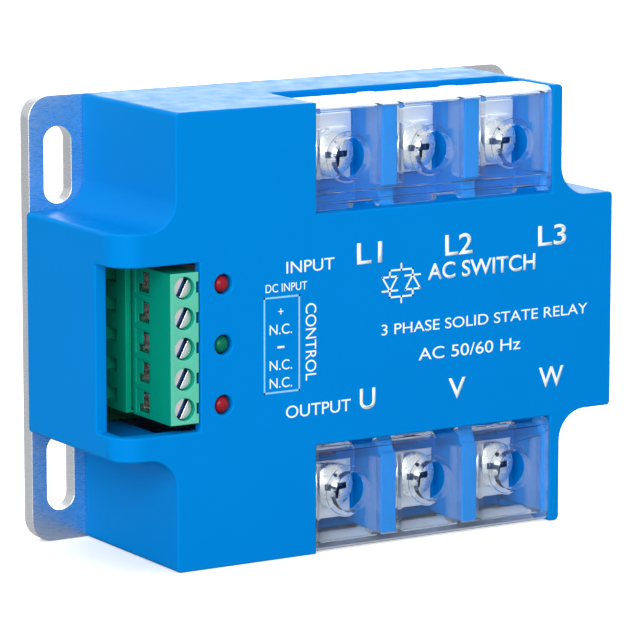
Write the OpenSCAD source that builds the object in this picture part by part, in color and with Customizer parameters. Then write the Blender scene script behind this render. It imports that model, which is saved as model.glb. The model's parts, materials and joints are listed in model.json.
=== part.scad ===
// Three-phase solid state relay for panel or heat sink mounting.
//
// Shapes are drawn lying on the mounting face: x to the right, y up the front
// face, z the height above the mounting face. stand() then turns them upright,
// so the front face looks along -Y and +Z is up. The origin is the centre of
// the mounting face.

/* [Overall] */
// Height of the relay, and width of its central body
body_size = 77; // [77:1:80]
// Width over the two side wings
wing_w = 98.8; // [98.8:0.2:104]
// Height of the side wings
wing_h = 38; // [36:1:40]
// Depth from the mounting face to the front face
depth = 35; // [35:0.5:40]
// Radius of the hollow corners between body and wings
wing_fillet = 5.3; // [3:0.1:6]
// Radius of the left wing's upright front edge
wing_round = 5; // [2:0.5:6]
// Radius of the right wing's upright front edge
wing_edge = 0.5; // [0.3:0.1:1]
// Radius of the outline's outer corners
corner_round = 0.8; // [0.5:0.1:1.2]

/* [Base plate] */
// Thickness of the metal base plate
plate_t = 3; // [3:0.25:4]
// Corner radius of the base plate
plate_corner = 4; // [2:0.5:5]
// Spacing of the mounting slots across the relay
slot_spacing_x = 86.6; // [86:0.1:88]
// Spacing of the mounting slots up the relay
slot_spacing_y = 53.2; // [52:0.1:54]
// Width of a mounting slot
slot_w = 5.2; // [4.5:0.1:5.4]
// Length of a mounting slot
slot_len = 13.2; // [10:0.2:14]

/* [Terminal banks] */
// Centre of the banks, to the right of the relay's centre
bank_x = 12.5; // [12:0.1:12.8]
// Spacing of the power terminals in a bank
cell_pitch = 16.65; // [16.5:0.05:16.7]
// Clear width of a terminal cell
cell_w = 13.6; // [13.2:0.05:13.7]
// Height of the terminal screws from the relay's centre line
screw_y = 28.65; // [28:0.05:29]
// Depth of the terminal plates below the front face
terminal_drop = 10; // [9.8:0.1:10.2]

/* [Clear covers] */
// Width of a cover
cover_w = 47.6; // [47.4:0.1:47.8]
// Thickness of a cover's front panel
cover_t = 1.8; // [1.4:0.1:1.8]
// Diameter of the screwdriver holes
access_d = 6.8; // [5:0.1:7.4]

/* [Control connector] */
// Number of control terminals
poles = 5; // [5:1:5]
// Spacing of the control terminals
pole_pitch = 5.08; // [5:0.01:5.08]
// Width of the plug
plug_w = 5.4; // [5.3:0.1:5.6]
// Height of the connector's middle from the relay's centre line
control_y = -0.75; // [-1:0.05:0]

/* [Indicators] */
// Diameter of an indicator
led_d = 3; // [2.8:0.1:3.2]
// Spacing of the indicators
led_pitch = 10.16; // [10:0.01:10.16]

/* [Hidden] */
$fn = 48;
phases = [0:2];
input_names = ["l1", "l2", "l3"];
output_names = ["u", "v", "w"];
pole_list = [0:poles - 1];

// Outline and walls of the housing
half = body_size / 2;
wall = 2.2;
front_t = 2;
overlap = 0.1;
free_gap = 0.15;
plate_w = wing_w - 1.2;
shelf_z = 16.5;

// Terminal cells
cell_x = [for (i = [-1:1]) bank_x + i * cell_pitch];
cell_floor = depth - terminal_drop - 1;
cell_inner_y = 19.7;
bar_inner_y = 23.9;
bar_outer_y = 35.1;
bar_t = 1;
bar_w = 11.2;
trough_z = 19;
partition_y = 37;
partition_z = depth - 2;
bank_left = bank_x - cover_w / 2;
bank_right = bank_x + cover_w / 2;
row_left = cell_x[0] - cell_w / 2;

// Terminal screws (M4) and their clamp plates
screw_r = 1.95;
screw_hole_r = 2.25;
thread_r = 2;
head_r = 4;
head_top = depth - 5.3;
head_h = 2.8;
clamp_w = 8.4;
clamp_t = 1.3;
washer_t = head_top - head_h - clamp_t - cell_floor - bar_t;
nut_w = 7;
nut_t = 3.2;
shank_len = 9;

// Hinges of the covers
hinge_y = 21.5;
hinge_r = 1.5;
hinge_z = depth - hinge_r;
peg_r = 0.9;
peg_len = 1.1;
peg_gap = 0.05;
cover_outer_y = half - 0.2;
cover_wall_t = 1.2;
cover_skirt_z = depth - 9;

// Power parts on the base plate
tile_t = 0.8;
pad_t = 0.3;
die_t = 0.4;
tile_top = plate_t + tile_t;
pad_top = tile_top + pad_t;
die_top = pad_top + die_t;
leg_w = 6;
gel_z = pad_top + 1.1;
gel_top = 8.4;
gate_pin_r = 0.4;
gate_pin_at = [5.5, 9];

// Control board
board_z = 10.4;
board_t = 1.6;
board_top = board_z + board_t;
board_post_at = [[-19, 13], [20.825, 13], [-19, -13], [20.825, -13]];
post_r = 2.5;
board_screw_r = 1.2;

// Control connector, measured from the left end of the wing
window_left = -wing_w / 2 + wall;
window_right = -34;
window_h = 28.3;
notch_z = 27;
lip_r = 3.6;
plug_h = poles * pole_pitch;
plug_right = window_right - 0.3;
plug_left = plug_right - plug_w;
plug_x = (plug_left + plug_right) / 2;
plug_at = [plug_x, control_y];
plug_top = depth;
plug_bottom = 22.3;
neck_bottom = 16.5;
neck_w = 4.3;
neck_h = 24;
header_top = 21.4;
header_w = 7.1;
header_floor = 14.5;
pin_w = 1;
pin_top = 21;
pole_y = [for (i = pole_list) control_y + (i - (poles - 1) / 2) * pole_pitch];
chamber_w = 4.5;
chamber_h = 3.9;
chamber_z = 23.2;
chamber_top = 31.2;
cage_z = 23.4;
cage_w = 3.6;
cage_h = 3.6;
cage_len = 5.6;
m3_head_r = 1.75;
m3_head_z = 32.7;
m3_shank_r = 1.2;
m3_tip_z = 27.35;

// Indicators
led_x = -29.5;
led_flange_z = 29.2;
led_flange_t = 1;
led_y = [for (i = [-1:1]) control_y + i * led_pitch];

// Screws that hold the housing on the base plate
boss_at = [[34, 34], [-34, 34], [34, -34], [-34, -34]];
boss_r = 3.6;
boss_top = 14;
boss_screw_r = 1.45;
boss_head_r = 2.9;

// ---- Helpers

// Turns a shape drawn on the mounting face upright.
module stand() {
    rotate([90, 0, 0]) children();
}

// A block between two opposite corners.
module span(low, high) {
    translate(low) cube(high - low);
}

// A block centred on a point in x and y, from z0 to z1.
module post(at, size, z0, z1) {
    translate([at[0] - size[0] / 2, at[1] - size[1] / 2, z0]) cube([size[0], size[1], z1 - z0]);
}

// A rectangle centred on the origin, with round corners.
module rounded_rect(size, r) {
    flat = [size[0] - 2 * r, size[1] - 2 * r];
    square([size[0], flat[1]], center = true);
    square([flat[0], size[1]], center = true);
    for (x = [-1, 1], y = [-1, 1]) translate([x * flat[0] / 2, y * flat[1] / 2]) circle(r);
}

// A round bar along z.
module rod(at, r, z0, z1) {
    translate([at[0], at[1], z0]) cylinder(r = r, h = z1 - z0);
}

// Draws its children for the upper bank, and mirrored for the lower one.
module on_side(side) {
    mirror([0, side < 0 ? 1 : 0, 0]) children();
}

module on_both_sides() {
    for (side = [1, -1]) on_side(side) children();
}

// A cross or slot cut into a screw head.
module driver_cross(at, reach, width, z0, z1) {
    post(at, [reach, width], z0, z1);
    post(at, [width, reach], z0, z1);
}

// ---- Base plate

module slot_hole(at) {
    reach = (slot_len - slot_w) / 2;
    for (end = [-1, 1]) translate([at[0], at[1] + end * reach]) circle(d = slot_w);
    translate([at[0] - slot_w / 2, at[1] - reach]) square([slot_w, 2 * reach]);
}

module base_plate() {
    color("silver") stand() difference() {
        linear_extrude(plate_t) difference() {
            rounded_rect([plate_w, body_size], plate_corner);
            for (x = [-1, 1], y = [-1, 1]) slot_hole([x * slot_spacing_x / 2, y * slot_spacing_y / 2]);
        }
        for (at = boss_at) translate([at[0], at[1], -overlap]) {
            cylinder(r = boss_screw_r + free_gap, h = plate_t + 1);
            cylinder(r1 = boss_head_r + overlap + 0.2, r2 = boss_screw_r + free_gap, h = 1.9);
        }
    }
}

// ---- Housing

module body_outline() {
    edge = wing_h / 2;
    rounded_rect([body_size, body_size], corner_round);
    rounded_rect([wing_w, wing_h], corner_round);
    for (x = [-1, 1], y = [-1, 1]) scale([x, y]) translate([half, edge]) difference() {
        square(wing_fillet);
        translate([wing_fillet, wing_fillet]) circle(wing_fillet);
    }
}

// The solid block of the housing, with the wings' front edges rounded.
module housing_block() {
    intersection() {
        translate([0, 0, plate_t]) linear_extrude(depth - plate_t) body_outline();
        rotate([90, 0, 0]) linear_extrude(body_size + 2, center = true) {
            left = wing_round - wing_w / 2;
            right = wing_w / 2 - wing_edge;
            translate([-wing_w / 2, 0]) square([wing_w, depth - wing_round]);
            translate([left, 0]) square([right - left, depth]);
            translate([left, depth - wing_round]) circle(wing_round);
            translate([right - 1, 0]) square([1 + wing_edge, depth - wing_edge]);
            translate([right, depth - wing_edge]) circle(wing_edge);
        }
    }
}

// The space inside the housing for the board and the power parts.
module housing_cavity() {
    inner = half - wall;
    middle = wing_h / 2 - wall;
    low = plate_t - overlap;
    span([-wing_w / 2 + wall, -middle, low], [wing_w / 2 - wall, middle, depth - front_t - 1]);
    span([-inner, -inner, low], [inner, inner, shelf_z]);
    span([-inner, -inner, low], [row_left - wall, inner, depth - front_t]);
}

module housing_posts() {
    for (at = boss_at) rod(at, boss_r, plate_t, boss_top);
    for (at = board_post_at) rod(at, post_r, board_top, depth - 1);
}

// One bank's cells, its opening in the side wall and the seat of its cover.
module bank_cut() {
    seat_l = bank_left - free_gap;
    seat_r = bank_right + free_gap;
    round_r = 2.5;
    // seat of the cover in the front face
    span([seat_l, cell_inner_y, partition_z], [seat_r, half + 1, depth + 1]);
    // opening in the side wall, with rounded lower corners
    translate([0, half + 1, 0]) rotate([90, 0, 0]) linear_extrude(half + 1 - partition_y) {
        translate([seat_l, trough_z + round_r]) square([seat_r - seat_l, depth]);
        translate([seat_l + round_r, trough_z]) square([seat_r - seat_l - 2 * round_r, round_r + 1]);
        for (x = [seat_l + round_r, seat_r - round_r]) translate([x, trough_z + round_r]) circle(round_r);
    }
    for (x = cell_x) {
        // terminal cell, and the wire trough at its outer end
        span([x - cell_w / 2, cell_inner_y, cell_floor], [x + cell_w / 2, half, depth]);
        span([x - cell_w / 2, bar_outer_y + free_gap, trough_z], [x + cell_w / 2, half, depth]);
        // pockets for the nut, the screw's tip and the terminal's leg
        post([x, screw_y], [nut_w + 0.2, nut_w + 0.2], cell_floor - nut_t, cell_floor + 1);
        rod([x, screw_y], screw_hole_r, shelf_z - 1, cell_floor);
        span([x - leg_w / 2 - 0.2, bar_inner_y - 0.2, shelf_z - 1],
             [x + leg_w / 2 + 0.2, bar_inner_y + bar_t + 0.2, cell_floor + 1]);
    }
    // groove for the cover's rolled edge, and bores for its hinge pegs
    translate([seat_l, hinge_y, hinge_z]) rotate([0, 90, 0])
        cylinder(r = hinge_y - cell_inner_y, h = seat_r - seat_l);
    translate([seat_l - peg_len, hinge_y, hinge_z]) rotate([0, 90, 0])
        cylinder(r = peg_r + peg_gap, h = seat_r - seat_l + 2 * peg_len);
}

// The window in the front and the notch in the end wall for the control connector.
module connector_cut() {
    low = control_y - window_h / 2;
    high = control_y + window_h / 2;
    span([window_left, low, depth - front_t - 2], [window_right, high, depth + 1]);
    span([-wing_w / 2 - 1, low, notch_z], [window_left + 1, high, depth + 1]);
}

// Rounded lip that the control wires bend over, along the notch's floor.
module wire_lip() {
    reach = wing_h / 2 - wall + overlap;
    translate([-wing_w / 2, -reach, notch_z - lip_r]) rotate([-90, 0, 0]) cylinder(r = lip_r, h = 2 * reach);
}

module housing() {
    color("dodgerblue") stand() difference() {
        union() {
            difference() {
                housing_block();
                housing_cavity();
            }
            intersection() {
                housing_block();
                union() {
                    housing_posts();
                    wire_lip();
                }
            }
        }
        on_both_sides() bank_cut();
        connector_cut();
        for (y = led_y) rod([led_x, y], led_d / 2 + 0.2, led_flange_z, depth + 1);
        for (at = board_post_at) rod(at, board_screw_r, board_top - 1, board_top + 6.2);
        for (at = boss_at) rod(at, boss_screw_r, plate_t - 1, boss_top - 1.5);
    }
}

// ---- Clear covers

// Notches in a cover's rolled edge, one for each cell.
module cover_notches() {
    for (x = cell_x) span([x + 0.2, hinge_y - 2, hinge_z - 2], [x + 5.4, hinge_y - 0.5, depth + 1]);
}

// Thin ribs that fill the sides of a cell, with a deeper step at the outer end.
module cover_ribs(x) {
    rib_t = 0.8;
    rib_x = cell_w / 2 - 0.25 - rib_t;
    for (side = [-1, 1]) translate([x + side * (rib_x + rib_t / 2) - rib_t / 2, 0, 0]) {
        span([0, hinge_y + 2, depth - 4.6], [rib_t, cover_outer_y - 1, depth - 1]);
        span([0, 31.5, depth - 5.8], [rib_t, cover_outer_y - 1, depth - 1]);
    }
}

module cover_shape() {
    corner = 1.5;
    difference() {
        union() {
            // front panel, rolled edge at the hinge, and outer skirt
            span([bank_left, hinge_y, depth - cover_t], [bank_right, cover_outer_y - corner, depth]);
            translate([bank_left, hinge_y, hinge_z]) rotate([0, 90, 0]) cylinder(r = hinge_r, h = cover_w);
            span([bank_left, cover_outer_y - cover_wall_t, cover_skirt_z],
                 [bank_right, cover_outer_y, depth - corner]);
            // rounded corner between them
            intersection() {
                translate([bank_left, cover_outer_y - corner, depth - corner]) rotate([0, 90, 0])
                    cylinder(r = corner, h = cover_w);
                span([bank_left, cover_outer_y - corner - overlap, depth - corner - overlap],
                     [bank_right, cover_outer_y + 1, depth + 1]);
            }
            // tabs on the skirt, over the partitions
            for (x = [cell_x[0], cell_x[1]])
                span([x + cell_pitch / 2 - 1.6, cover_outer_y - cover_wall_t, cover_skirt_z - 1.2],
                     [x + cell_pitch / 2 + 1.6, cover_outer_y, cover_skirt_z + 1]);
            for (x = cell_x) {
                cover_ribs(x);
                // collar under the screwdriver hole
                rod([x, screw_y], access_d / 2 + 0.9, depth - cover_t - 0.5, depth - 1);
            }
            // hinge pegs
            translate([bank_left - peg_len, hinge_y, hinge_z]) rotate([0, 90, 0])
                cylinder(r = peg_r, h = cover_w + 2 * peg_len);
        }
        for (x = cell_x) rod([x, screw_y], access_d / 2, depth - 6, depth + 1);
        cover_notches();
    }
}

module upper_cover() {
    color([0.9, 0.95, 1, 0.4]) stand() cover_shape();
}

module lower_cover() {
    color([0.9, 0.95, 1, 0.4]) stand() on_side(-1) cover_shape();
}

// ---- Power terminals

// Copper bar from the cell floor down to the power tile.
module terminal(i, side) {
    x = cell_x[i];
    foot_y = 16.5;
    color("gainsboro") stand() on_side(side) difference() {
        union() {
            span([x - bar_w / 2, bar_inner_y, cell_floor], [x + bar_w / 2, bar_outer_y, cell_floor + bar_t]);
            span([x - leg_w / 2, bar_inner_y, pad_top],
                 [x + leg_w / 2, bar_inner_y + bar_t, cell_floor + 0.5]);
            span([x - leg_w / 2, foot_y, pad_top], [x + leg_w / 2, bar_inner_y + bar_t, pad_top + bar_t]);
        }
        rod([x, screw_y], screw_hole_r, cell_floor - 1, cell_floor + 2);
    }
}

// Square clamp plate with the round spring washer on it.
module clamp(i, side) {
    at = [cell_x[i], screw_y];
    z = cell_floor + bar_t;
    notch_l = 1.1;
    notch_w = 0.7;
    color("silver") stand() on_side(side) difference() {
        union() {
            post(at, [clamp_w, clamp_w], z, z + clamp_t);
            rod(at, head_r - 0.15, z + clamp_t, z + clamp_t + washer_t);
        }
        rod(at, screw_hole_r, z - 1, z + 3);
        // notches in the middle of each side
        for (turn = [0:3]) translate([at[0], at[1], z - 1]) rotate([0, 0, 90 * turn])
            span([clamp_w / 2 - notch_l, -notch_w / 2, 0], [clamp_w / 2 + 1, notch_w / 2, clamp_t + 2]);
    }
}

module terminal_screw(i, side) {
    at = [cell_x[i], screw_y];
    z = head_top - head_h;
    dome_r = 7;
    color("silver") stand() on_side(side) difference() {
        union() {
            rod(at, screw_r, z - shank_len, z + 0.5);
            intersection() {
                rod(at, head_r, z, head_top);
                translate([at[0], at[1], head_top - dome_r]) sphere(dome_r, $fn = 96);
            }
        }
        driver_cross(at, 4.4, 1, head_top - 1.7, head_top + 1);
    }
}

module terminal_nuts() {
    color("darkgray") stand() on_both_sides() for (x = cell_x) difference() {
        post([x, screw_y], [nut_w, nut_w], cell_floor - nut_t, cell_floor);
        rod([x, screw_y], thread_r, cell_floor - nut_t - 1, cell_floor + 1);
    }
}

// ---- Power parts on the base plate

module substrate(i) {
    color("white") stand() post([cell_x[i], 0], [14.2, 42], plate_t, tile_top);
}

module copper_pads() {
    color("peru") stand() on_both_sides() for (x = cell_x)
        post([x, 10.3], [13.6, 19.4], tile_top, pad_top);
}

module thyristor_dies() {
    for (x = cell_x, side = [1, -1])
        color("dimgray") stand() post([x - side * 3.2, side * 6], [5.6, 5.6], pad_top, die_top);
}

// Copper clips from each die's top to the other pad.
module die_clips() {
    clip_t = 0.4;
    color("orange") stand() for (x = cell_x) for (turn = [0, 180])
        translate([x, 0, 0]) rotate([0, 0, turn]) {
            span([-4.6, -1.4, die_top], [-1.8, 8, die_top + clip_t]);
            span([-4.6, -1.8, pad_top], [-1.8, -1.4, die_top + clip_t]);
            span([-4.6, -2.8, pad_top], [-1.8, -1.4, pad_top + clip_t]);
        }
}

module gate_pin_places(r, z0, z1) {
    for (x = cell_x, side = [1, -1]) rod([x + side * gate_pin_at[0], side * gate_pin_at[1]], r, z0, z1);
}

module gate_pins() {
    color("gold") stand() gate_pin_places(gate_pin_r, pad_top, board_top + 0.6);
}

// Layer of soft gel over the power tiles.
module potting_gel() {
    reach = half - wall;
    color([0.9, 0.9, 0.85, 0.6]) stand() difference() {
        span([row_left - 2, -reach, gel_z], [reach, reach, gel_top]);
        for (at = boss_at) rod(at, boss_r, plate_t, gel_top + 1);
        gate_pin_places(gate_pin_r, plate_t, gel_top + 1);
        on_both_sides() for (x = cell_x)
            span([x - leg_w / 2, bar_inner_y, plate_t], [x + leg_w / 2, bar_inner_y + bar_t, gel_top + 1]);
    }
}

// ---- Control board

module led_lead_places(w, z0, z1) {
    for (y = led_y, side = [-1, 1]) post([led_x + side * 0.9, y], [w, w], z0, z1);
}

module control_board() {
    middle = wing_h / 2 - wall - 0.3;
    color("darkgreen") stand() difference() {
        span([-46.6, -middle, board_z], [36, middle, board_top]);
        for (at = board_post_at) rod(at, board_screw_r + 0.1, board_z - 1, board_top + 1);
        for (y = pole_y) post([plug_x, y], [pin_w, pin_w], board_z - 1, board_top + 1);
        gate_pin_places(gate_pin_r, board_z - 1, board_top + 1);
        led_lead_places(0.5, board_z - 1, board_top + 1);
    }
}

module board_screws() {
    color("silver") stand() for (at = board_post_at) difference() {
        union() {
            rod(at, board_screw_r, board_z - 0.5, board_top + 5.8);
            rod(at, 2.2, board_z - 1.6, board_z);
        }
        driver_cross(at, 2.2, 0.6, board_z - 2, board_z - 0.8);
    }
}

module optocouplers() {
    color("white") stand() for (x = cell_x) post([x, 4.2], [6.4, 8.6], board_top, board_top + 3.6);
}

module varistors() {
    disc_r = 4.3;
    color("royalblue") stand() for (x = cell_x) translate([x, 13.4, board_top + disc_r]) rotate([90, 0, 0])
        cylinder(r = disc_r, h = 3.6);
}

module snubber_capacitors() {
    color("gold") stand() for (x = cell_x) post([x, -5], [10, 5], board_top, board_top + 9);
}

module snubber_resistors() {
    color("tan") stand() for (x = cell_x) translate([x - 4.5, -12, board_top + 1.5]) rotate([0, 90, 0])
        cylinder(r = 1.5, h = 9);
}

module logic_chip() {
    color("black") stand() post([-20, 0], [6, 8.7], board_top, board_top + 1.6);
}

// ---- Control connector

module control_header() {
    side_gap = 0.3;
    color("seagreen") stand() difference() {
        post(plug_at, [header_w, plug_h], board_top, header_top);
        post(plug_at, [neck_w + 2 * side_gap, neck_h + 2 * side_gap], header_floor, header_top + 1);
        for (y = pole_y) {
            post([plug_x, y], [pin_w, pin_w], board_top - 1, header_floor + 1);
            // open slots in the left side
            span([plug_x - header_w / 2 - 1, y - 1.1, header_floor], [plug_x, y + 1.1, header_floor + 3.6]);
        }
    }
}

module header_pins() {
    color("gainsboro") stand() for (y = pole_y) post([plug_x, y], [pin_w, pin_w], board_z - 1.2, pin_top);
}

module control_plug() {
    entry_h = 3.5;
    entry_low = 25.3;
    entry_high = 27.5;
    foot_low = 23.9;
    foot_h = 1.3;
    panel_h = 4.2;
    panel_high = 28.1;
    socket_w = 2.4;
    color("mediumseagreen") stand() difference() {
        union() {
            post(plug_at, [plug_w, plug_h], plug_bottom, plug_top);
            post(plug_at, [neck_w, neck_h], neck_bottom, plug_bottom + 1);
        }
        for (y = pole_y) {
            // chamber of the wire cage, and the wire's way in with its wider foot
            post([plug_x, y], [chamber_w, chamber_h], chamber_z, chamber_top);
            span([plug_left - 1, y - entry_h / 2, entry_low], [plug_x, y + entry_h / 2, entry_high]);
            span([plug_left - 1, y - entry_h / 2, foot_low],
                 [plug_x, y - entry_h / 2 + foot_h, entry_low + 1]);
            // sunk panel round the wire's way in
            span([plug_left - 1, y - panel_h / 2, chamber_z],
                 [plug_left + 0.2, y + panel_h / 2, panel_high]);
            // notch in the right edge of the front face
            span([plug_right - 0.45, y - 0.9, plug_top - 2.5], [plug_right + 1, y + 0.9, plug_top + 1]);
            // recess of the screw
            rod([plug_x, y], m3_head_r + free_gap, m3_head_z, plug_top + 1);
            rod([plug_x, y], m3_shank_r + 0.05, chamber_top - 1, m3_head_z + 1);
            // way in for the header's pin
            post([plug_x, y], [socket_w, socket_w], neck_bottom - 1, chamber_z + 1);
        }
    }
}

// Contact strip above the wire, with a leg down beside the header's pin.
module plug_contacts() {
    strip_t = 0.5;
    leg_x = plug_x + pin_w / 2 + 0.05;
    color("gainsboro") stand() for (y = pole_y) {
        span([plug_x - 2, y - 1.1, m3_tip_z - 0.15 - strip_t], [plug_x + 2.2, y + 1.1, m3_tip_z - 0.15]);
        span([plug_x + 1.9, y - 1.1, cage_z - 0.2], [plug_x + 2.2, y + 1.1, m3_tip_z - 0.15]);
        span([leg_x, y - 1.1, cage_z - 0.2], [plug_x + 2.2, y + 1.1, cage_z]);
        span([leg_x, y - 1.1, neck_bottom + 0.5], [leg_x + 0.5, y + 1.1, cage_z]);
    }
}

module control_screw(i) {
    at = [plug_x, pole_y[i]];
    head_h = 1.4;
    slot_turn = 62;
    color("silver") stand() difference() {
        union() {
            rod(at, m3_head_r, m3_head_z, m3_head_z + head_h);
            rod(at, m3_shank_r, m3_tip_z, m3_head_z + 0.5);
        }
        translate([at[0], at[1], m3_head_z + head_h - 0.8]) rotate([0, 0, slot_turn])
            post([0, 0], [4, 0.75], 0, 2);
    }
}

// Rising cage that lifts the wire against the contact strip.
module wire_cage(i) {
    x = plug_x;
    y = pole_y[i];
    top = cage_z + cage_len;
    color("gainsboro") stand() difference() {
        post([x - 0.1, y], [cage_w, cage_h], cage_z + 0.1, top);
        span([x - cage_w, y - 1.25, cage_z + 0.8], [x + cage_w, y + 1.25, m3_tip_z - 0.05]);
        rod([x, y], m3_shank_r + 0.05, cage_z + 1, top + 1);
    }
}

// ---- Indicators

module led(i) {
    at = [led_x, control_y + i * led_pitch];
    r = led_d / 2;
    color(i == 0 ? "darkgreen" : "firebrick") stand() {
        rod(at, r + 0.4, led_flange_z, led_flange_z + led_flange_t);
        rod(at, r, led_flange_z, depth - r);
        intersection() {
            translate([at[0], at[1], depth - r]) sphere(r);
            rod(at, r + 1, depth - r - overlap, depth + 1);
        }
    }
}

module led_spacers() {
    color("ivory") stand() difference() {
        for (y = led_y) rod([led_x, y], led_d / 2 + 0.4, board_top, led_flange_z);
        led_lead_places(0.5, board_top - 1, led_flange_z + 1);
    }
}

module led_leads() {
    color("gainsboro") stand() led_lead_places(0.5, board_z - 1.2, led_flange_z);
}

// ---- Housing screws, let in from the back

module housing_screws() {
    color("silver") stand() for (at = boss_at) difference() {
        union() {
            rod(at, boss_screw_r, 0.2, boss_top - 2);
            translate([at[0], at[1], 0.2]) cylinder(r1 = boss_head_r, r2 = boss_screw_r, h = 1.5);
        }
        driver_cross(at, 2.6, 0.7, 0, 1.1);
    }
}

base_plate();
housing();
upper_cover();
lower_cover();
for (i = phases) {
    terminal(i, 1);
    terminal(i, -1);
    clamp(i, 1);
    clamp(i, -1);
    terminal_screw(i, 1);
    terminal_screw(i, -1);
    substrate(i);
}
terminal_nuts();
copper_pads();
thyristor_dies();
die_clips();
gate_pins();
potting_gel();
control_board();
board_screws();
optocouplers();
varistors();
snubber_capacitors();
snubber_resistors();
logic_chip();
control_header();
header_pins();
control_plug();
plug_contacts();
for (i = pole_list) {
    control_screw(i);
    wire_cage(i);
}
led(1);  // led_upper
led(0);  // led_middle
led(-1);  // led_lower
led_spacers();
led_leads();
housing_screws();
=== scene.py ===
"""Looks of a three-phase solid state relay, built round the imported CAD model."""

import json
import math

import bmesh
import bpy
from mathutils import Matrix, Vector


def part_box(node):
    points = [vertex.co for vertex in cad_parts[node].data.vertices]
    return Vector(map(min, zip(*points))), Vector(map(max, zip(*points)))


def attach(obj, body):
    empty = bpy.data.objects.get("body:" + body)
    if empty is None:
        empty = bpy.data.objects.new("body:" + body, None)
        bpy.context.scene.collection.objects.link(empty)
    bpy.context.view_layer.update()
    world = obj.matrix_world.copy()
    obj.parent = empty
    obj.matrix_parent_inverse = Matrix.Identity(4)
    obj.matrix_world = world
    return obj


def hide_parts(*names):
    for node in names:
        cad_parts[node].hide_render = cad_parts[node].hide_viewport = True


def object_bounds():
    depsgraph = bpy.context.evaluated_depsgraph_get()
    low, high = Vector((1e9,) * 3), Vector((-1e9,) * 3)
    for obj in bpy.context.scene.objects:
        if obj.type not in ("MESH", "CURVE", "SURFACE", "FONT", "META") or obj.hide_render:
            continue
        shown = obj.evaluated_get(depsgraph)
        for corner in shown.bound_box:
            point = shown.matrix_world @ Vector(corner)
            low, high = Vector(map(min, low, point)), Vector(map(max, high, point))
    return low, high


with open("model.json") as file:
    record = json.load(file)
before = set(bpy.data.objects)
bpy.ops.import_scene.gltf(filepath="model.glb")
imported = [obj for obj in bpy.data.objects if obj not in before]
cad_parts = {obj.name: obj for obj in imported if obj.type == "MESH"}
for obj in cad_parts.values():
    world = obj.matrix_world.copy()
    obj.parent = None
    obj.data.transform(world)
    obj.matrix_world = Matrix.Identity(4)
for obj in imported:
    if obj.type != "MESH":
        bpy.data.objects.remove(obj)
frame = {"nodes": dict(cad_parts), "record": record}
CAD_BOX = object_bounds()

MM = 0.001
NODES = frame["nodes"]
BODY_OF = {
    node: body
    for body, nodes in frame["record"]["behaviour"]["bodies"].items()
    for node in nodes
}
SLOT_OF = {s["node"]: s["material_slot"] for s in frame["record"]["subparts"]}
SIDES = {"l1": 1, "l2": 1, "l3": 1, "u": -1, "v": -1, "w": -1}
FRONT_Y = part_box("housing")[0].y
FLOOR_Z = CAD_BOX[0].z


# ---- Camera

CAMERA_AZIMUTH = math.radians(-31.51)
CAMERA_ELEVATION = math.radians(9.71)
CAMERA_DISTANCE = 722.46 * MM
CAMERA_TARGET = Vector((5.55, -3.0, 0.0)) * MM


def make_camera():
    """A long lens from the left and a little above, as a catalogue picture is taken."""
    azimuth, elevation = CAMERA_AZIMUTH, CAMERA_ELEVATION
    back = Vector((
        math.sin(azimuth) * math.cos(elevation),
        -math.cos(azimuth) * math.cos(elevation),
        math.sin(elevation),
    ))
    data = bpy.data.cameras.new("camera")
    data.sensor_width = 36
    data.lens = 230.2
    data.shift_x = 0.0258
    data.shift_y = -0.0405
    data.clip_start = 0.01
    data.clip_end = 20
    camera = bpy.data.objects.new("camera", data)
    camera.location = CAMERA_TARGET + back * CAMERA_DISTANCE
    camera.rotation_mode = "QUATERNION"
    camera.rotation_quaternion = (-back).to_track_quat("-Z", "Y")
    bpy.context.scene.collection.objects.link(camera)
    bpy.context.scene.camera = camera


# ---- Material helpers

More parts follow.
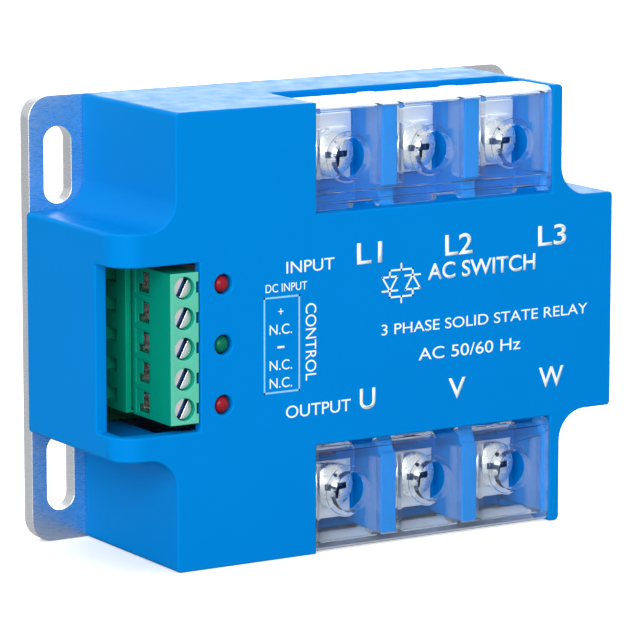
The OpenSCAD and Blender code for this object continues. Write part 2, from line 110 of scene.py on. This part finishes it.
class Shader:
    """A material with one Principled shader and short ways to add nodes to it."""

    def __init__(self, name, color, roughness, metallic=0.0):
        self.material = bpy.data.materials.new(name)
        self.material.use_nodes = True
        self.tree = self.material.node_tree
        self.main = self.tree.nodes["Principled BSDF"]
        self.main.inputs["Base Color"].default_value = (*color, 1)
        self.main.inputs["Roughness"].default_value = roughness
        self.main.inputs["Metallic"].default_value = metallic
        self.color = color

    def set(self, **values):
        """Sets uniform values on the shader's own sockets."""
        for key, value in values.items():
            self.main.inputs[key.replace("_", " ")].default_value = value
        return self

    def node(self, kind, **values):
        made = self.tree.nodes.new(kind)
        for key, value in values.items():
            setattr(made, key, value)
        return made

    def link(self, source, target):
        self.tree.links.new(source, target)

    def place(self, stretch=(1, 1, 1)):
        """Object coordinates, stretched along the axes."""
        coord = self.node("ShaderNodeTexCoord")
        mapping = self.node("ShaderNodeMapping")
        mapping.inputs["Scale"].default_value = stretch
        self.link(coord.outputs["Object"], mapping.inputs["Vector"])
        return mapping.outputs["Vector"]

    def noise(self, scale, detail=3, stretch=(1, 1, 1)):
        made = self.node("ShaderNodeTexNoise")
        made.inputs["Scale"].default_value = scale
        made.inputs["Detail"].default_value = detail
        self.link(self.place(stretch), made.inputs["Vector"])
        return made.outputs["Fac"]

    def vary_color(self, fac, dark, light):
        """Blends between a darker and a lighter form of the colour."""
        mix = self.node("ShaderNodeMix", data_type="RGBA")
        mix.inputs[6].default_value = (*[c * dark for c in self.color], 1)
        mix.inputs[7].default_value = (*[min(1, c * light) for c in self.color], 1)
        self.link(fac, mix.inputs[0])
        self.link(mix.outputs[2], self.main.inputs["Base Color"])
        return self

    def vary_roughness(self, fac, low, high):
        spread = self.node("ShaderNodeMapRange")
        spread.inputs["From Min"].default_value = 0.3
        spread.inputs["From Max"].default_value = 0.7
        spread.inputs["To Min"].default_value = low
        spread.inputs["To Max"].default_value = high
        self.link(fac, spread.inputs["Value"])
        self.link(spread.outputs["Result"], self.main.inputs["Roughness"])
        return self

    def bump(self, fac, strength, depth_mm):
        made = self.node("ShaderNodeBump")
        made.inputs["Strength"].default_value = strength
        made.inputs["Distance"].default_value = depth_mm * MM
        self.link(fac, made.inputs["Height"])
        self.link(made.outputs["Normal"], self.main.inputs["Normal"])
        return self


GRAIN_SCALE = 2600


def moulded(name, color, roughness, depth_mm=0.02, ior=1.4):
    """Moulded plastic: a fine spark-eroded grain, and slow shifts of colour and gloss."""
    s = Shader(name, color, roughness)
    s.vary_color(s.noise(60, 2), 0.97, 1.03)
    s.vary_roughness(s.noise(350, 4), roughness - 0.07, roughness + 0.07)
    s.bump(s.noise(GRAIN_SCALE, 2), 0.2, depth_mm)
    s.set(IOR=ior)
    return s.material


LINE_SCALE = 900


def metal(name, color, roughness, stretch=(1, 1, 1), metallic=1.0):
    """Plated or milled metal, with fine lines along the axis that isn't stretched."""
    s = Shader(name, color, roughness, metallic)
    s.vary_color(s.noise(150, 3), 0.95, 1.04)
    s.vary_roughness(s.noise(LINE_SCALE, 3, stretch), roughness * 0.75, roughness * 1.3)
    s.bump(s.noise(LINE_SCALE * 2, 2, stretch), 0.3, 0.004)
    return s.material


def clear_plastic(name, tint, clearness, roughness):
    """Clear polycarbonate that lets the lamps light what is behind it."""
    s = Shader(name, tint, roughness)
    s.set(Transmission_Weight=clearness, IOR=1.11)
    s.vary_roughness(s.noise(500, 3), roughness * 0.5, roughness * 1.5)
    s.bump(s.noise(120, 2), 0.15, 0.03)
    open_way = s.node("ShaderNodeBsdfTransparent")
    open_way.inputs["Color"].default_value = (0.55, 0.62, 0.7, 1)
    path = s.node("ShaderNodeLightPath")
    mix = s.node("ShaderNodeMixShader")
    output = s.tree.nodes["Material Output"]
    s.link(path.outputs["Is Shadow Ray"], mix.inputs["Fac"])
    s.link(s.main.outputs["BSDF"], mix.inputs[1])
    s.link(open_way.outputs["BSDF"], mix.inputs[2])
    s.link(mix.outputs["Shader"], output.inputs["Surface"])
    return s.material


def lens(name, color, glow):
    """Tinted epoxy of an indicator, with a little light in it."""
    s = Shader(name, color, 0.15)
    s.vary_color(s.noise(900, 2), 0.8, 1.2)
    s.vary_roughness(s.noise(1500, 2), 0.1, 0.2)
    s.set(Emission_Color=(*color, 1), Emission_Strength=glow, IOR=1.25)
    return s.material


MATERIALS = {
    "plate_metal": metal("plate_metal", (0.86, 0.9, 0.95), 0.3, (1, 1, 14)),
    "housing_blue": moulded("housing_blue", (0.0, 0.205, 0.615), 0.36, ior=1.07),
    "clear_cover": clear_plastic("clear_cover", (0.97, 0.99, 1.0), 0.985, 0.02),
    "terminal_plating": metal(
        "terminal_plating", (0.98, 0.98, 0.99), 0.42, (12, 1, 1), metallic=0.55
    ),
    "clamp_steel": metal("clamp_steel", (0.97, 0.98, 0.99), 0.38, metallic=0.55),
    "screw_steel": metal("screw_steel", (0.95, 0.97, 0.99), 0.28, metallic=0.85),
    "ceramic": moulded("ceramic", (0.85, 0.85, 0.82), 0.35),
    "copper": metal("copper", (0.85, 0.45, 0.3), 0.3, (8, 1, 1)),
    "silicon": moulded("silicon", (0.05, 0.055, 0.065), 0.15),
    "tinned_contact": metal("tinned_contact", (0.85, 0.85, 0.83), 0.28),
    "clear_gel": moulded("clear_gel", (0.7, 0.72, 0.68), 0.25),
    "board_green": moulded("board_green", (0.01, 0.09, 0.04), 0.3),
    "coupler_white": moulded("coupler_white", (0.75, 0.75, 0.7), 0.5),
    "varistor_blue": moulded("varistor_blue", (0.02, 0.05, 0.3), 0.3),
    "capacitor_yellow": moulded("capacitor_yellow", (0.7, 0.42, 0.02), 0.35),
    "resistor_tan": moulded("resistor_tan", (0.5, 0.36, 0.2), 0.5),
    "chip_black": moulded("chip_black", (0.01, 0.01, 0.011), 0.55),
    "header_green": moulded("header_green", (0.0, 0.34, 0.2), 0.5, ior=1.2),
    "plug_green": moulded("plug_green", (0.0, 0.27, 0.18), 0.45, ior=1.2),
    "led_red": lens("led_red", (0.25, 0.01, 0.02), 0.05),
    "led_green": lens("led_green", (0.0, 0.13, 0.07), 0.02),
}
# Painted light: whiter, less clear copies of the cover plastic for its ribs, ends and rims,
# standing in for the glow of light inside clear plastic
COVER_EDGE_GLOW = clear_plastic("clear_cover_edge_painted_glow", (0.93, 0.97, 1.0), 0.93, 0.1)
COVER_RIM_GLOW = clear_plastic("clear_cover_rim_painted_glow", (0.96, 0.98, 1.0), 0.45, 0.15)
# Painted shade: a dark blue steel for the driver slots of the screws, where shade falls
SLOT_SHADE = metal("slot_painted_shade", (0.05, 0.12, 0.28), 0.4)
# Painted sheen: a paler green for the plug's front faces, standing in for their gloss
PLUG_FACE_SHEEN = moulded("plug_face_painted_sheen", (0.1, 0.5, 0.36), 0.4, ior=1.25)
INK = moulded("white_ink", (0.82, 0.9, 0.95), 0.5, depth_mm=0.004)
FAINT_INK = moulded("faint_ink", (0.25, 0.55, 0.85), 0.5, depth_mm=0.004)


# ---- Pieces

def add(piece, body, material):
    """Puts a new piece in the scene, riding on a body and material."""
    if not piece.users_collection:
        bpy.context.scene.collection.objects.link(piece)
    if material is not None:
        piece.data.materials.clear()
        piece.data.materials.append(material)
    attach(piece, body)


WELD = 0.002 * MM
EDGE_SEGMENTS = 3
EDGE_ANGLE = math.radians(32)


def soften(node, radius_mm, paint=None):
    """Stands in for a CAD node with the same shape and rounded edges."""
    mesh = NODES[node].data.copy()
    form = bmesh.new()
    form.from_mesh(mesh)
    bmesh.ops.remove_doubles(form, verts=form.verts, dist=WELD)
    bmesh.ops.recalc_face_normals(form, faces=form.faces)
    for face in form.faces:
        face.smooth = True
    form.to_mesh(mesh)
    form.free()
    piece = bpy.data.objects.new(node + "_finish", mesh)
    mesh.materials.clear()
    mesh.materials.append(MATERIALS[SLOT_OF[node]])
    add(piece, BODY_OF[node], None)
    if paint:
        paint(mesh)
    bevel = piece.modifiers.new("edges", "BEVEL")
    bevel.width = radius_mm * MM
    bevel.segments = EDGE_SEGMENTS
    bevel.limit_method = "ANGLE"
    bevel.angle_limit = EDGE_ANGLE
    bevel.use_clamp_overlap = False
    bevel.loop_slide = False
    level = piece.modifiers.new("flats", "WEIGHTED_NORMAL")
    level.weight = 100
    level.keep_sharp = False
    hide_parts(node)


def paint_plug_sheen(mesh):
    """Paints the plug's front faces a paler green as a painted sheen, standing in for the gloss
    that catches the light there.
    """
    mesh.materials.append(PLUG_FACE_SHEEN)
    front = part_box("control_plug")[0].y
    for face in mesh.polygons:
        if face.normal.y < -0.9 and abs(face.center.y - front) < 0.1 * MM:
            face.material_index = 1


RIM_DEPTH = 1.3 * MM


def paint_cover_glow(mesh):
    """Paints a cover's ribs, ends and rims whiter and less clear, as painted light for the pale
    glow of light inside clear plastic.
    """
    mesh.materials.append(COVER_EDGE_GLOW)
    mesh.materials.append(COVER_RIM_GLOW)
    outer = max(abs(v.co.z) for v in mesh.vertices)
    for face in mesh.polygons:
        if abs(face.center.z) > outer - RIM_DEPTH and abs(face.normal.z) > 0.5:
            face.material_index = 2
        elif abs(face.normal.x) > 0.9:
            face.material_index = 1


SLOT_TOP = 0.25 * MM
SLOT_FLOOR = 1.9 * MM
SLOT_REACH = 0.93


def paint_slot_shade(mesh):
    """Paints the driver slots of a screw a darker steel as painted shade, as light hardly
    reaches into them.
    """
    mesh.materials.append(SLOT_SHADE)
    front = min(v.co.y for v in mesh.vertices)
    middle_x = sum(v.co.x for v in mesh.vertices) / len(mesh.vertices)
    middle_z = (max(v.co.z for v in mesh.vertices) + min(v.co.z for v in mesh.vertices)) / 2
    rim = max(v.co.x for v in mesh.vertices) - middle_x
    for face in mesh.polygons:
        reach = math.hypot(face.center.x - middle_x, face.center.z - middle_z)
        in_slot = front + SLOT_TOP < face.center.y < front + SLOT_FLOOR
        side_or_floor = abs(face.normal.y) < 0.3 or face.normal.y < -0.98
        if reach < rim * SLOT_REACH and in_slot and side_or_floor:
            face.material_index = 1


def paint_cad_nodes():
    """Gives each CAD node the material of its slot."""
    for node, obj in NODES.items():
        obj.data.materials.clear()
        obj.data.materials.append(MATERIALS[SLOT_OF[node]])


# ---- Printed markings

INK_TOP = FRONT_Y - 0.015 * MM
INK_BOTTOM = FRONT_Y + 0.02 * MM


def printed(name, words, at, cap_mm, width_mm=None, turn=0.0, bold=0.0):
    """Thin letters on the front face; at is the middle of the words in x and z, in mm."""
    curve = bpy.data.curves.new(name, "FONT")
    curve.body = words
    curve.align_x = "CENTER"
    curve.align_y = "CENTER"
    curve.size = 1.0
    curve.offset = bold
    curve.extrude = 0.0
    source = bpy.data.objects.new(name + "_text", curve)
    bpy.context.scene.collection.objects.link(source)
    bpy.context.view_layer.update()
    graph = bpy.context.evaluated_depsgraph_get()
    mesh = bpy.data.meshes.new_from_object(source.evaluated_get(graph))
    bpy.data.objects.remove(source)
    xs = [v.co.x for v in mesh.vertices]
    ys = [v.co.y for v in mesh.vertices]
    middle = ((min(xs) + max(xs)) / 2, (min(ys) + max(ys)) / 2)
    tall = cap_mm * MM / (max(ys) - min(ys))
    wide = width_mm * MM / (max(xs) - min(xs)) if width_mm else tall
    for v in mesh.vertices:
        x = (v.co.x - middle[0]) * wide
        z = (v.co.y - middle[1]) * tall
        v.co = (
            at[0] * MM + x * math.cos(turn) - z * math.sin(turn),
            INK_TOP,
            at[1] * MM + x * math.sin(turn) + z * math.cos(turn),
        )
    thicken(mesh)
    add(bpy.data.objects.new(name, mesh), "base", INK)


def thicken(mesh):
    """Turns a flat outline on the front face into a thin closed film of ink."""
    form = bmesh.new()
    form.from_mesh(mesh)
    bmesh.ops.remove_doubles(form, verts=form.verts, dist=0.001 * MM)
    made = bmesh.ops.extrude_face_region(form, geom=form.faces[:])
    for v in made["geom"]:
        if isinstance(v, bmesh.types.BMVert):
            v.co.y = INK_BOTTOM
    bmesh.ops.recalc_face_normals(form, faces=form.faces)
    form.to_mesh(mesh)
    form.free()


def printed_lines(name, strokes, width_mm, ink=INK):
    """Printed straight lines on the front face; each stroke is (x0, z0, x1, z1) in mm."""
    form = bmesh.new()
    for x0, z0, x1, z1 in strokes:
        along = Vector((x1 - x0, 0, z1 - z0)).normalized() * width_mm / 2
        across = Vector((-along.z, 0, along.x))
        ends = (Vector((x0, 0, z0)) - along, Vector((x1, 0, z1)) + along)
        ring = (ends[0] - across, ends[1] - across, ends[1] + across, ends[0] + across)
        verts = [form.verts.new((p.x * MM, INK_TOP, p.z * MM)) for p in ring]
        form.faces.new(verts)
    mesh = bpy.data.meshes.new(name)
    form.to_mesh(mesh)
    form.free()
    thicken(mesh)
    add(bpy.data.objects.new(name, mesh), "base", ink)


def thyristor_pair(x, z):
    """Strokes of two thyristors side by side, one pointing up and one down, with their leads."""
    rail, lead, gap, wide, tall = 2.3, 3.3, 2.3, 1.5, 1.2
    strokes = [(x, z + side * rail, x, z + side * lead) for side in (-1, 1)]
    strokes += [(x - gap, z + side * rail, x + gap, z + side * rail) for side in (-1, 1)]
    for side in (-1, 1):
        middle, tip, foot = x + side * gap, z + side * tall, z - side * tall
        strokes += [
            (middle, z + tall, middle, z + rail), (middle, z - tall, middle, z - rail),
            (middle - wide, tip, middle + wide, tip), (middle - wide, foot, middle + wide, foot),
            (middle - wide, foot, middle, tip), (middle + wide, foot, middle, tip),
        ]
    return strokes


def make_markings():
    for end, words, x, width in (
        ("l1", "L1", -1.0, 5.0), ("l2", "L2", 17.1, 5.6), ("l3", "L3", 36.5, 5.9),
        ("u", "U", -1.3, 3.1), ("v", "V", 16.9, 3.5), ("w", "W", 36.6, 5.2),
    ):
        z = 12.3 if SIDES[end] > 0 else -12.7
        printed("mark_" + end, words, (x, z), 3.6, width, bold=0.01)
    printed("mark_input", "INPUT", (-12.7, 11.15), 2.0, 9.4)
    printed("mark_output", "OUTPUT", (-11.1, -13.4), 2.1, 12.8)
    printed("mark_control", "CONTROL", (-12.6, -1.8), 2.1, 13.1, turn=-math.pi / 2)
    printed("mark_type", "3 PHASE SOLID STATE RELAY", (22.8, -1.2), 1.85, 42.7)
    printed("mark_load", "AC 50/60 Hz", (19.5, -6.1), 2.1, 21.0)
    printed("mark_switch", "AC SWITCH", (21.9, 8.0), 2.85, 22.2, bold=0.012)
    printed("mark_dc", "DC INPUT", (-17.4, 7.9), 1.4, 8.1)
    column, first_row, pitch = -18.5, 3.9, 3.03
    for row, words in enumerate(("+", "N.C.", "-", "N.C.", "N.C.")):
        z = first_row - pitch * row
        if words == "-":
            printed_lines("mark_pin_3", [(column - 0.5, z, column + 0.5, z)], 0.35)
        else:
            printed(f"mark_pin_{row + 1}", words, (column, z), 1.0 if row == 0 else 1.7)
    left, right, top, bottom = -21.7, -14.9, 6.3, -9.8
    printed_lines("mark_box", [
        (left, top, right, top), (left, bottom, right, bottom),
        (left, top, left, bottom), (right, top, right, bottom),
    ], 0.3, FAINT_INK)
    printed_lines("mark_symbol", thyristor_pair(5.4, 6.6), 0.3)


# ---- Surroundings

def make_floor():
    """A pale floor that stays pale far off, and lights the object less than it seems to."""
    size = 3.0
    mesh = bpy.data.meshes.new("floor")
    corners = [(x * size, y * size, FLOOR_Z) for x, y in ((-1, -1), (1, -1), (1, 1), (-1, 1))]
    mesh.from_pydata(corners, [], [(0, 1, 2, 3)])
    floor = bpy.data.objects.new("floor", mesh)
    bpy.context.scene.collection.objects.link(floor)
    seen, lit, haze = 0.95, 0.35, 0.3
    s = Shader("floor_white", (seen, seen, seen), 0.6)
    path = s.node("ShaderNodeLightPath")
    shade = s.node("ShaderNodeMapRange")
    shade.inputs["To Min"].default_value = lit
    shade.inputs["To Max"].default_value = seen
    s.link(path.outputs["Is Camera Ray"], shade.inputs["Value"])
    s.link(shade.outputs["Result"], s.main.inputs["Base Color"])
    glow = s.node("ShaderNodeMapRange")
    glow.inputs["To Min"].default_value = 0.0
    glow.inputs["To Max"].default_value = haze
    s.set(Emission_Color=(1, 1, 1, 1))
    s.link(path.outputs["Is Camera Ray"], glow.inputs["Value"])
    s.link(glow.outputs["Result"], s.main.inputs["Emission Strength"])
    mesh.materials.append(s.material)


def area_light(name, place, size, power):
    data = bpy.data.lights.new(name, "AREA")
    data.shape = "RECTANGLE"
    data.size, data.size_y = size
    data.energy = power
    light = bpy.data.objects.new(name, data)
    light.location = place
    light.rotation_mode = "QUATERNION"
    light.rotation_quaternion = (-Vector(place)).to_track_quat("-Z", "Y")
    light.visible_camera = False
    bpy.context.scene.collection.objects.link(light)


def make_world(seen, lit):
    """A white studio, brighter where the camera sees it than the light that it gives."""
    world = bpy.data.worlds.new("studio")
    world.use_nodes = True
    tree = world.node_tree
    sky = tree.nodes["Background"]
    sky.inputs["Color"].default_value = (1, 1, 1, 1)
    path = tree.nodes.new("ShaderNodeLightPath")
    strength = tree.nodes.new("ShaderNodeMapRange")
    strength.inputs["To Min"].default_value = lit
    strength.inputs["To Max"].default_value = seen
    tree.links.new(path.outputs["Is Camera Ray"], strength.inputs["Value"])
    tree.links.new(strength.outputs["Result"], sky.inputs["Strength"])
    bpy.context.scene.world = world


def make_lights():
    make_world(1.0, 0.64)
    area_light("key", (-0.8, -0.9, 0.45), (0.9, 0.9), 14.5)
    area_light("overhead", (0.05, 0.05, 0.9), (0.8, 0.8), 4.0)
    area_light("back_top", (0.75, 1.25, 0.3), (1.6, 0.6), 13.0)
    bpy.context.scene.view_settings.view_transform = "Standard"


make_camera()
paint_cad_nodes()
soften("housing", 0.3)
soften("base_plate", 0.12)
for bank in ("upper_cover", "lower_cover"):
    soften(bank, 0.25, paint=paint_cover_glow)
for end in SIDES:
    soften(f"clamp_{end}", 0.2)
    soften(f"screw_{end}", 0.12, paint=paint_slot_shade)
    soften(f"terminal_{end}", 0.15)
for number in range(1, 6):
    soften(f"control_screw_{number}", 0.08, paint=paint_slot_shade)
soften("control_plug", 0.09, paint=paint_plug_sheen)
soften("control_header", 0.15)
make_markings()
make_floor()
make_lights()
